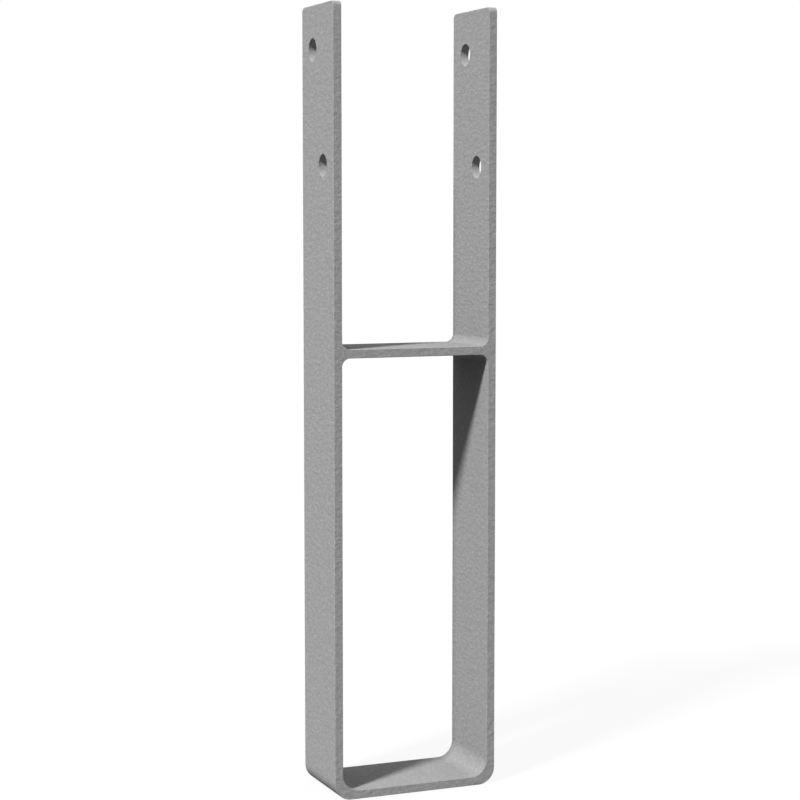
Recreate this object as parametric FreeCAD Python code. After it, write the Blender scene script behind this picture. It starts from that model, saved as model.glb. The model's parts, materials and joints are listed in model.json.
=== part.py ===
import FreeCAD, Part
import math
import os

from FreeCAD import Vector

# Welded post anchor: a flat bar bent into a tall U, and a crossbar welded between its cheeks.
# The fork above the crossbar takes a timber post, and the closed loop below it is cast into concrete.
# Frame: the origin is at the middle of the underside, X runs from cheek to cheek, Y runs across
# the bar's width with the front at -Y, and Z points up. All sizes are in millimetres.

# U strap
fork_gap = 91.0
strap_thickness = 5.0
bar_width = 50.0
loop_height = 250.0
fork_depth = 195.0
inner_bend_radius = 10.0
outer_bend_radius = 10.0
end_corner_radius = 3.0
edge_round = 0.3

# Crossbar, cut from bar of the strap's width, with its ends bevelled down to a narrow root face
crossbar_thickness = 5.0
crossbar_root_face = 2.0

# Fillet welds with a concave face, as wide on the crossbar as they are high on the cheek
weld_leg = 5.0

# Bolt holes, staggered about the middle of the bar
bolt_hole_diameter = 13.0
upper_hole_from_end = 25.0
hole_pitch = 66.0
hole_from_edge = 17.0

# Places worked out from the sizes above
inner_half = fork_gap / 2
outer_half = inner_half + strap_thickness
crossbar_bottom = strap_thickness + loop_height
crossbar_top = crossbar_bottom + crossbar_thickness
strap_top = crossbar_top + fork_depth
bevel_depth = (crossbar_thickness - crossbar_root_face) / 2
upper_hole_height = strap_top - upper_hole_from_end
lower_hole_height = upper_hole_height - hole_pitch
hole_offset = bar_width / 2 - hole_from_edge

# Two faces that meet at more than this angle make an edge that is rounded over
sharp_angle = math.radians(30)


def section_point(x, z):
    """Point of a section, which is drawn on the front face of the bar."""
    return Vector(x, -bar_width / 2, z)


def line(start, end):
    return Part.LineSegment(section_point(*start), section_point(*end)).toShape()


def arc(start, end, center):
    """Quarter turn about center, from start to end, both (x, z)."""
    radius = math.dist(start, center)
    toward_x = start[0] + end[0] - 2 * center[0]
    toward_z = start[1] + end[1] - 2 * center[1]
    reach = radius / math.hypot(toward_x, toward_z)
    middle = (center[0] + toward_x * reach, center[1] + toward_z * reach)
    return Part.Arc(section_point(*start), section_point(*middle), section_point(*end)).toShape()


def bar_from_section(edges):
    """Solid of the bar's whole width that has the closed section given by its edges."""
    section = Part.Face(Part.Wire(edges))
    return section.extrude(Vector(0, bar_width, 0))


def u_strap():
    """Flat bar bent up at both ends into two equal cheeks."""
    outer_level = outer_bend_radius
    outer_reach = outer_half - outer_bend_radius
    inner_level = strap_thickness + inner_bend_radius
    inner_reach = inner_half - inner_bend_radius
    outer_side = [
        line((-outer_half, strap_top), (-outer_half, outer_level)),
        arc((-outer_half, outer_level), (-outer_reach, 0), (-outer_reach, outer_level)),
        line((-outer_reach, 0), (outer_reach, 0)),
        arc((outer_reach, 0), (outer_half, outer_level), (outer_reach, outer_level)),
        line((outer_half, outer_level), (outer_half, strap_top)),
    ]
    inner_side = [
        line((inner_half, strap_top), (inner_half, inner_level)),
        arc((inner_half, inner_level), (inner_reach, strap_thickness), (inner_reach, inner_level)),
        line((inner_reach, strap_thickness), (-inner_reach, strap_thickness)),
        arc((-inner_reach, strap_thickness), (-inner_half, inner_level), (-inner_reach, inner_level)),
        line((-inner_half, inner_level), (-inner_half, strap_top)),
    ]
    right_end = [line((outer_half, strap_top), (inner_half, strap_top))]
    left_end = [line((-inner_half, strap_top), (-outer_half, strap_top))]
    return bar_from_section(outer_side + right_end + inner_side + left_end)


def crossbar():
    """Flat bar between the cheeks, each end bevelled from above and below over the weld's width."""
    toe = inner_half - weld_leg
    root_top = crossbar_top - bevel_depth
    root_bottom = crossbar_bottom + bevel_depth
    corners = [
        (-toe, crossbar_top),
        (toe, crossbar_top),
        (inner_half, root_top),
        (inner_half, root_bottom),
        (toe, crossbar_bottom),
        (-toe, crossbar_bottom),
        (-inner_half, root_bottom),
        (-inner_half, root_top),
    ]
    following = corners[1:] + corners[:1]
    return bar_from_section([line(start, end) for start, end in zip(corners, following)])


def weld(side, upward):
    """Bead in one corner: side is -1 left or 1 right, upward is 1 above the crossbar or -1 below."""
    bar_face = crossbar_top if upward > 0 else crossbar_bottom
    bar_toe = (side * (inner_half - weld_leg), bar_face)
    root = (side * inner_half, bar_face - upward * bevel_depth)
    cheek_toe = (side * inner_half, bar_face + upward * weld_leg)
    face_center = (bar_toe[0], cheek_toe[1])
    edges = [line(bar_toe, root), line(root, cheek_toe), arc(cheek_toe, bar_toe, face_center)]
    return bar_from_section(edges)


def edges_of_the_ends(shape):
    """The edges across the two cheeks' upper ends, at the front and the back of the bar."""
    found = []
    for edge in shape.Edges:
        box = edge.BoundBox
        at_top = math.isclose(box.ZMin, strap_top)
        across_thickness = math.isclose(box.XLength, strap_thickness) and box.YLength < edge_round
        if at_top and across_thickness:
            found.append(edge)
    return found


def sharp_edges(shape):
    """The edges where two faces meet at an angle, and not in a smooth joint."""
    found = []
    for edge in shape.Edges:
        middle = edge.valueAt((edge.FirstParameter + edge.LastParameter) / 2)
        normals = []
        for face in shape.ancestorsOfType(edge, Part.Face):
            u, v = face.Surface.parameter(middle)
            normals.append(face.normalAt(u, v))
        if len(normals) == 2 and normals[0].getAngle(normals[1]) > sharp_angle:
            found.append(edge)
    return found


def bolt_holes():
    """One round cutter for each pair of holes, through both cheeks."""
    through = Vector(1, 0, 0)
    cutters = []
    for height, offset in ((upper_hole_height, hole_offset), (lower_hole_height, -hole_offset)):
        start = Vector(-outer_half, offset, height)
        cutters.append(Part.makeCylinder(bolt_hole_diameter / 2, 2 * outer_half, start, through))
    return cutters


def build_pieces():
    """All pieces, cut from one outline whose edges run smoothly over the welded joints."""
    raw = {"u_strap": u_strap(), "crossbar": crossbar()}
    for side, side_name in ((-1, "left"), (1, "right")):
        for upward, level_name in ((1, "upper"), (-1, "lower")):
            raw[f"weld_{side_name}_{level_name}"] = weld(side, upward)
    welded = raw["u_strap"].fuse([raw[name] for name in raw if name != "u_strap"]).removeSplitter()
    welded = welded.makeFillet(end_corner_radius, edges_of_the_ends(welded))
    welded = welded.makeFillet(edge_round, sharp_edges(welded))
    pieces = {name: shape.common(welded) for name, shape in raw.items()}
    pieces["u_strap"] = pieces["u_strap"].cut(bolt_holes())
    return pieces


os.makedirs("parts", exist_ok=True)
for name, shape in build_pieces().items():
    solid, = shape.Solids
    solid.exportStep(f"parts/{name}.step")
    print(name, "valid", solid.isValid(), "volume", round(solid.Volume, 2), "mm3")
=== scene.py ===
import json
import math

import bpy
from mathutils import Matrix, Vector

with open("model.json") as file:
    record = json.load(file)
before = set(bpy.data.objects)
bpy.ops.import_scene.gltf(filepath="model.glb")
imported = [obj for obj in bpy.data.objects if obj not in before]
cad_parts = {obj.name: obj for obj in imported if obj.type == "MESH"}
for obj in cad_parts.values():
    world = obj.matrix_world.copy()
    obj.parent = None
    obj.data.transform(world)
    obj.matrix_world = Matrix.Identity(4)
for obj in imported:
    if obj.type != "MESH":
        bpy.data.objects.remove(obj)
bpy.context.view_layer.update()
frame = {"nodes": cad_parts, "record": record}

# A welded post anchor in galvanised flat bar, standing on a pale floor. Metres, +Z up, front at -Y.

# Camera, where the photograph was taken from
camera_place = Vector((-0.46484, -1.10725, 0.33413))
camera_turn = math.radians(22.79)
camera_dip = math.radians(5.048)
focal_length_mm = 92.59
sensor_width_mm = 36.0

# Light: one key lamp from the left, and a dim sky from all round,
# stronger overhead, in front, and behind on the right
key_from = Vector((-0.608, -0.358, 0.7084))
key_strength = 3.08
key_spread = math.radians(6.8)
sky_all_round = 0.12
sky_overhead = 0.33
sky_in_front = 0.1
sky_behind = 0.42
white = (1.0, 1.0, 1.0, 1.0)

# Floor: white with a faint shadow where it is seen, and darker in the light that it throws back
floor_reach = 6.0
floor_glow = 1.0
floor_share_of_shadow = 0.08
floor_color = (0.13, 0.13, 0.13, 1.0)

# Galvanised finish: a matt, neutral grey coat of zinc, finely mottled
zinc_pale = (0.478, 0.478, 0.478, 1.0)
zinc_deep = (0.428, 0.428, 0.428, 1.0)
mottle_least = 0.3
mottle_most = 0.7
# Duller zinc of the crystals and clouds, also the colour of the painted shade on curves
zinc_dull_and_shade = (0.225, 0.225, 0.225, 1.0)
zinc_speck = (0.53, 0.53, 0.53, 1.0)
zinc_worn = (0.49, 0.49, 0.49, 1.0)
zinc_specular = 0.05

# Roughness of the coat, uneven with its crystals and its grain
smoothest = 0.8
roughest = 0.94
crystals_in_roughness = 0.5
grain_in_roughness = 0.5

# Grain of the coat, drawn out along the bar's width, and the bright specks in it
grain_size = Vector((0.0027, 0.0039, 0.0023))
grain_detail = 2.0
grain_roughness = 0.55
grain_height = 0.0004
speck_size = Vector((0.0013, 0.0026, 0.0013))
speck_least = 0.6
speck_most = 0.74

# Crystals of the zinc, and the slow clouds between them
crystal_size = 0.006
crystal_bend = 0.0015
crystal_softness = 0.2
crystal_share = 0.02
cloud_size = 0.08
cloud_detail = 3.0
cloud_share = 0.01

# Bends and weld faces, painted a little darker: painted shade on curved faces
painted_shade_in_curves = 0.2

# Lower walls of the bolt holes, painted paler: painted light on the up-facing walls that the key
# lamp lights
zinc_painted_light = (0.55, 0.55, 0.55, 1.0)
hole_margin = 0.0001
mm_in_a_metre = 1000

# Edges, where handling has rubbed the coat a little brighter and smoother
wear_reach = 0.0008
wear_share = 0.5
wear_samples = 8

# Light that steel throws on steel: none of it between the cheeks, and part of it in the bolt holes
between_cheeks = 0.0456
held_back_in_holes = 0.55
black = (0.0, 0.0, 0.0, 1.0)


class Socket:
    """An output of a shader node, on which Python's operators add Math nodes."""

    def __init__(self, tree, output):
        self.tree = tree
        self.output = output

    def math(self, operation, first, second):
        return self.tree.add("ShaderNodeMath", {"operation": operation}, {0: first, 1: second})

    def __add__(self, other):
        return self.math("ADD", self, other)

    def __radd__(self, other):
        return self.math("ADD", other, self)

    def __sub__(self, other):
        return self.math("SUBTRACT", self, other)

    def __rsub__(self, other):
        return self.math("SUBTRACT", other, self)

    def __mul__(self, other):
        return self.math("MULTIPLY", self, other)

    def __rmul__(self, other):
        return self.math("MULTIPLY", other, self)

    def __lt__(self, other):
        return self.math("LESS_THAN", self, other)

    def __abs__(self):
        return self.math("ABSOLUTE", self, 0.0)


class Tree:
    """The node tree of a material or of the world, emptied, with one method that adds nodes."""

    def __init__(self, owner):
        owner.use_nodes = True
        self.tree = owner.node_tree
        self.tree.nodes.clear()

    def add(self, kind, settings=None, inputs=None, output=0):
        """New node of that type: settings first, then values or links into its sockets."""
        node = self.tree.nodes.new(kind)
        for name, value in (settings or {}).items():
            setattr(node, name, value)
        for name, value in (inputs or {}).items():
            if isinstance(value, Socket):
                self.tree.links.new(value.output, node.inputs[name])
            else:
                node.inputs[name].default_value = value
        if not node.outputs:
            return None
        return Socket(self, node.outputs[output])

    def larger(self, first, second):
        return self.add("ShaderNodeMath", {"operation": "MAXIMUM"}, {0: first, 1: second})

    def channel(self, vector, axis):
        """One of the three numbers of a vector or a colour, by the axis X, Y or Z."""
        return self.add("ShaderNodeSeparateXYZ", inputs={0: vector}, output=axis)


def seen_directly(tree):
    """1 for rays that show the background: from the camera, in a gloss or through glass."""
    camera, gloss, glass = [tree.add("ShaderNodeLightPath", output=name)
                            for name in ("Is Camera Ray", "Is Glossy Ray", "Is Transmission Ray")]
    return tree.larger(camera, tree.larger(gloss, glass))


def set_world():
    """White where it is seen. As light it is a dim sky, brighter toward three sides."""
    world = bpy.data.worlds.new("studio")
    bpy.context.scene.world = world
    tree = Tree(world)
    direction = tree.add("ShaderNodeTexCoord", output="Generated")
    x, y, z = [tree.channel(direction, axis) for axis in "XYZ"]
    height = tree.larger(z, 0.0)
    front = tree.larger(-1 * y, 0.0)
    behind = tree.larger(math.sqrt(0.5) * (x + y), 0.0)
    sky = (sky_all_round + sky_overhead * (height * height) + sky_in_front * (front * front)
           + sky_behind * (behind * behind))
    seen = seen_directly(tree)
    strength = seen + (1 - seen) * sky
    shown = tree.add("ShaderNodeBackground", inputs={"Color": white, "Strength": strength})
    tree.add("ShaderNodeOutputWorld", inputs={"Surface": shown})


def floor_material():
    """A pale floor that glows evenly where it is seen, and takes a small share of real light."""
    material = bpy.data.materials.new("floor")
    tree = Tree(material)
    lit = tree.add("ShaderNodeBsdfDiffuse", inputs={"Color": white})
    glow = tree.add("ShaderNodeEmission", inputs={"Color": white, "Strength": floor_glow})
    seen = tree.add("ShaderNodeMixShader", inputs={0: floor_share_of_shadow, 1: glow, 2: lit})
    plain = tree.add("ShaderNodeBsdfDiffuse", inputs={"Color": floor_color})
    surface = tree.add("ShaderNodeMixShader", inputs={0: seen_directly(tree), 1: plain, 2: seen})
    tree.add("ShaderNodeOutputMaterial", inputs={"Surface": surface})
    return material


def add_floor():
    mesh = bpy.data.meshes.new("floor")
    corners = [(-floor_reach, -floor_reach, 0), (floor_reach, -floor_reach, 0),
               (floor_reach, floor_reach, 0), (-floor_reach, floor_reach, 0)]
    mesh.from_pydata(corners, [], [(0, 1, 2, 3)])
    mesh.materials.append(floor_material())
    floor = bpy.data.objects.new("floor", mesh)
    # The floor blocks no light, so the sky lights the object's underside too
    floor.visible_shadow = False
    bpy.context.scene.collection.objects.link(floor)


def add_key_lamp():
    lamp = bpy.data.lights.new("key", "SUN")
    lamp.energy = key_strength
    lamp.angle = key_spread
    key = bpy.data.objects.new("key", lamp)
    key.rotation_euler = key_from.to_track_quat("Z", "Y").to_euler()
    bpy.context.scene.collection.objects.link(key)


def add_camera():
    lens = bpy.data.cameras.new("camera")
    lens.sensor_width = sensor_width_mm
    lens.lens = focal_length_mm
    camera = bpy.data.objects.new("camera", lens)
    camera.location = camera_place
    camera.rotation_euler = (math.radians(90) - camera_dip, 0, -camera_turn)
    bpy.context.scene.collection.objects.link(camera)
    bpy.context.scene.camera = camera


def crystals_and_clouds(tree, place):
    """Soft crystals with bent borders, and slow clouds, each from 0 to 1."""
    bend = tree.add("ShaderNodeTexNoise",
                    inputs={"Vector": place, "Scale": 1 / crystal_size}, output="Color")
    bent_place = tree.add("ShaderNodeVectorMath", {"operation": "MULTIPLY_ADD"},
                          {0: bend, 1: (crystal_bend,) * 3, 2: place})
    crystals = tree.add("ShaderNodeTexVoronoi", {"feature": "SMOOTH_F1"}, {
        "Vector": bent_place,
        "Scale": 1 / crystal_size,
        "Smoothness": crystal_softness,
    }, output="Color")
    cloud = tree.add("ShaderNodeTexNoise", inputs={
        "Vector": place,
        "Scale": 1 / cloud_size,
        "Detail": cloud_detail,
    })
    return tree.channel(crystals, "X"), cloud


def height_and_tone_of_grain(tree, place):
    """Two patterns of the same fine grain, one for its relief and one for its colour."""
    grain_place = tree.add("ShaderNodeVectorMath", {"operation": "DIVIDE"},
                           {0: place, 1: grain_size})
    grain = tree.add("ShaderNodeTexNoise", inputs={
        "Vector": grain_place,
        "Scale": 1.0,
        "Detail": grain_detail,
        "Roughness": grain_roughness,
    }, output="Color")
    return tree.channel(grain, "X"), tree.channel(grain, "Y")


def specks(tree, place):
    """1 on the small bright specks, and 0 between them."""
    speck_place = tree.add("ShaderNodeVectorMath", {"operation": "DIVIDE"},
                           {0: place, 1: speck_size})
    speck_noise = tree.add("ShaderNodeTexNoise",
                           inputs={"Vector": speck_place, "Scale": 1.0, "Detail": 0.0})
    return tree.add("ShaderNodeMapRange", {"clamp": True},
                    {"Value": speck_noise, "From Min": speck_least, "From Max": speck_most})


def worn_edges(tree):
    """Wear on edges, which have less metal behind them than a flat face has."""
    solid_metal = tree.add("ShaderNodeAmbientOcclusion", {"samples": wear_samples, "inside": True},
                           {"Distance": wear_reach}, output="AO")
    return wear_share * (1 - solid_metal)


def in_bolt_holes(tree, place):
    """1 on the walls of the bolt holes, which all run along X, and 0 elsewhere."""
    across = tree.add("ShaderNodeVectorMath", {"operation": "MULTIPLY"},
                      {0: place, 1: (0.0, 1.0, 1.0)})
    masks = []
    for mount in frame["record"]["mounts"]:
        if mount["kind"] == "bore":
            axis = (0.0, *mount["pos_m"][1:])
            radius = mount["dims"]["r_mm"] / mm_in_a_metre
            from_axis = tree.add("ShaderNodeVectorMath", {"operation": "DISTANCE"},
                                 {0: across, 1: axis}, output="Value")
            masks.append(from_axis < radius + hole_margin)
    return sum(masks)


def held_back(tree, place):
    """How much of the light that steel throws on steel is held back. Other rays lose none."""
    inside = abs(tree.channel(place, "X")) < between_cheeks
    thrown = tree.add("ShaderNodeLightPath", output="Is Diffuse Ray")
    return thrown * (held_back_in_holes + (1 - held_back_in_holes) * inside)


def zinc():
    """Hot-dip zinc: mottled and grained, painted shade where it curves, paler on worn edges, painted
    light low in holes.
    """
    material = bpy.data.materials.new("zinc")
    tree = Tree(material)
    place = tree.add("ShaderNodeTexCoord", output="Object")
    facing = tree.add("ShaderNodeNewGeometry", output="Normal")
    sideways, upward = [tree.channel(facing, axis) for axis in "XZ"]

    crystal, cloud = crystals_and_clouds(tree, place)
    height, tone = height_and_tone_of_grain(tree, place)
    relief = tree.add("ShaderNodeBump",
                      inputs={"Strength": 1.0, "Distance": grain_height, "Height": height})
    mottle = tree.add("ShaderNodeMapRange", {"clamp": True},
                      {"Value": tone, "From Min": mottle_least, "From Max": mottle_most})

    # Only bends, weld faces and rounded edges face sideways and up or down at once
    curve = abs(sideways * upward)
    # Crystals and clouds dull the coat at random; the curves get painted shade
    dull_and_painted_shade = crystal_share * crystal + cloud_share * cloud + painted_shade_in_curves * curve
    worn = worn_edges(tree)
    # Painted light: the up-facing lower walls of the bolt holes are painted paler
    painted_light_in_holes = in_bolt_holes(tree, place) * (tree.larger(upward, 0.0) * upward)
    color = zinc_deep
    for share, other in ((mottle, zinc_pale), (specks(tree, place), zinc_speck), (worn, zinc_worn),
                         (dull_and_painted_shade, zinc_dull_and_shade), (painted_light_in_holes, zinc_painted_light)):
        color = tree.add("ShaderNodeMix", {"data_type": "RGBA", "clamp_factor": True},
                         {"Factor": share, "A": color, "B": other}, output="Result")
    color = tree.add("ShaderNodeMix", {"data_type": "RGBA"},
                     {"Factor": held_back(tree, place), "A": color, "B": black}, output="Result")

    unevenness = (crystals_in_roughness * crystal + grain_in_roughness * tone) * (1 - worn)
    rough = smoothest + (roughest - smoothest) * unevenness
    shader = tree.add("ShaderNodeBsdfPrincipled", inputs={
        "Base Color": color,
        "Roughness": rough,
        "Specular IOR Level": zinc_specular,
        "Normal": relief,
    })
    tree.add("ShaderNodeOutputMaterial", inputs={"Surface": shader})
    return material


bpy.context.scene.view_settings.view_transform = "Standard"
set_world()
add_floor()
add_key_lamp()
add_camera()

coat = zinc()
for node in frame["nodes"].values():
    node.data.materials[0] = coat
